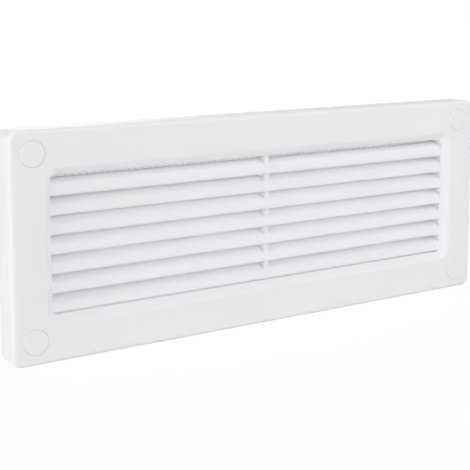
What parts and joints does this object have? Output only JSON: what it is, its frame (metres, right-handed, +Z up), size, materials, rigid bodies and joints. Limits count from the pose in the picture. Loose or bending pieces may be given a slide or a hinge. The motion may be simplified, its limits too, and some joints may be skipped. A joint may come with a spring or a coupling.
{
  "type": "duct grille",
  "caption": "White louvred wall grille with a spigot for a flat ventilation duct, an insect screen behind its sloping slats and round caps over its corner screws.",
  "frame": {"origin": "centre of the four screw holes, on the wall plane", "axes": "+X to the right of someone facing the louvre, +Y into the wall and along the duct, +Z up"},
  "size_m": [0.234, 0.0334, 0.09],
  "materials": {
    "white_plastic": "satin white moulded plastic",
    "screen_net": "pale moulded net"
  },
  "bodies": {
    "root": {"grille_body": "white_plastic", "insect_screen": "screen_net", "screw_cap_top_left": "white_plastic", "screw_cap_top_right": "white_plastic", "screw_cap_bottom_left": "white_plastic", "screw_cap_bottom_right": "white_plastic"}
  },
  "joints": []
}
